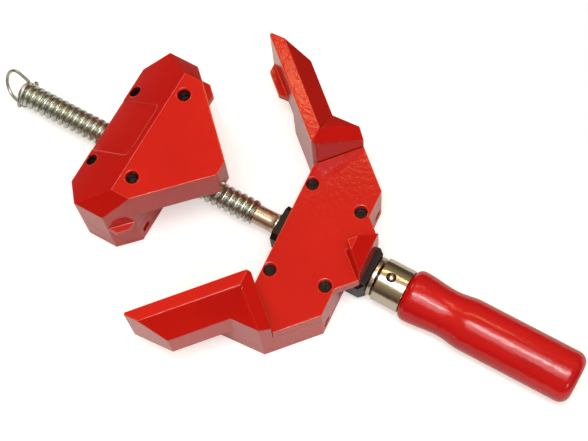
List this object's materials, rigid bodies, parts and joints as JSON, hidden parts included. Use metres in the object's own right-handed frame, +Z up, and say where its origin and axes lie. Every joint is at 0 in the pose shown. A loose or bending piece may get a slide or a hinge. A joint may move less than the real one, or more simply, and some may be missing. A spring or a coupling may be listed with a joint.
{
  "type": "corner_clamp",
  "caption": "Corner clamp with a fixed V jaw, a wedge-shaped jaw drawn along a swivelling screw spindle and a turned wooden handle, for squeezing boards together at a right angle.",
  "frame": {"origin": "Inner corner of the fixed jaw's V on the base plane, on the axis of the vertical swivel pins.", "axes": "+Z up; +X along the V's axis of symmetry towards the handle; +Y towards the second arm."},
  "size_m": [0.359, 0.171, 0.065],
  "materials": {
    "red_paint": "gloss",
    "black_steel": "satin",
    "black_plastic": "satin",
    "plated_steel": "satin",
    "nickel_plate": "polished",
    "lacquered_wood": "gloss",
    "brass": "satin"
  },
  "bodies": {
    "fixed_jaw": {"fixed_jaw_body": "red_paint", "hub_cover": "red_paint", "fixed_jaw_base": "red_paint", "front_hub_screws": "black_steel", "rear_hub_screws": "black_steel"},
    "bearing": {"swivel_bearing": "black_plastic", "upper_swivel_pin": "plated_steel", "lower_swivel_pin": "plated_steel"},
    "screw": {"spindle": "plated_steel", "thrust_washer": "plated_steel", "ferrule": "nickel_plate", "handle_pin": "nickel_plate", "handle": "lacquered_wood", "end_loop": "plated_steel"},
    "nut": {"spindle_nut": "brass"},
    "moving_jaw": {"moving_jaw_upper": "red_paint", "moving_jaw_lower": "red_paint", "moving_jaw_base": "red_paint", "top_screws": "black_steel", "back_screws": "black_steel"}
  },
  "joints": [
    {"name": "spindle_swivel", "type": "hinge", "parent": "fixed_jaw", "child": "bearing", "pos_m": [0, 0, 0.017], "axis": [0, 0, 1], "range_deg": [-1.43, 9.57]},
    {"name": "handle_turn", "type": "hinge", "parent": "bearing", "child": "screw", "pos_m": [0, 0, 0.017], "axis": [0.9975, -0.071, 0], "range_deg": [-4500, 4590]},
    {"name": "jaw_travel", "type": "slide", "parent": "bearing", "child": "nut", "axis": [0.9975, -0.071, 0], "range_m": [-0.0511, 0.0501]},
    {"name": "jaw_swivel", "type": "hinge", "parent": "nut", "child": "moving_jaw", "pos_m": [-0.12832, 0.00913, 0.017], "axis": [0, 0, 1], "range_deg": [-4, 4]}
  ],
  "couplings": [
    {"joint": "jaw_travel", "follows": "handle_turn", "m_per_rad": -0.00063662}
  ]
}
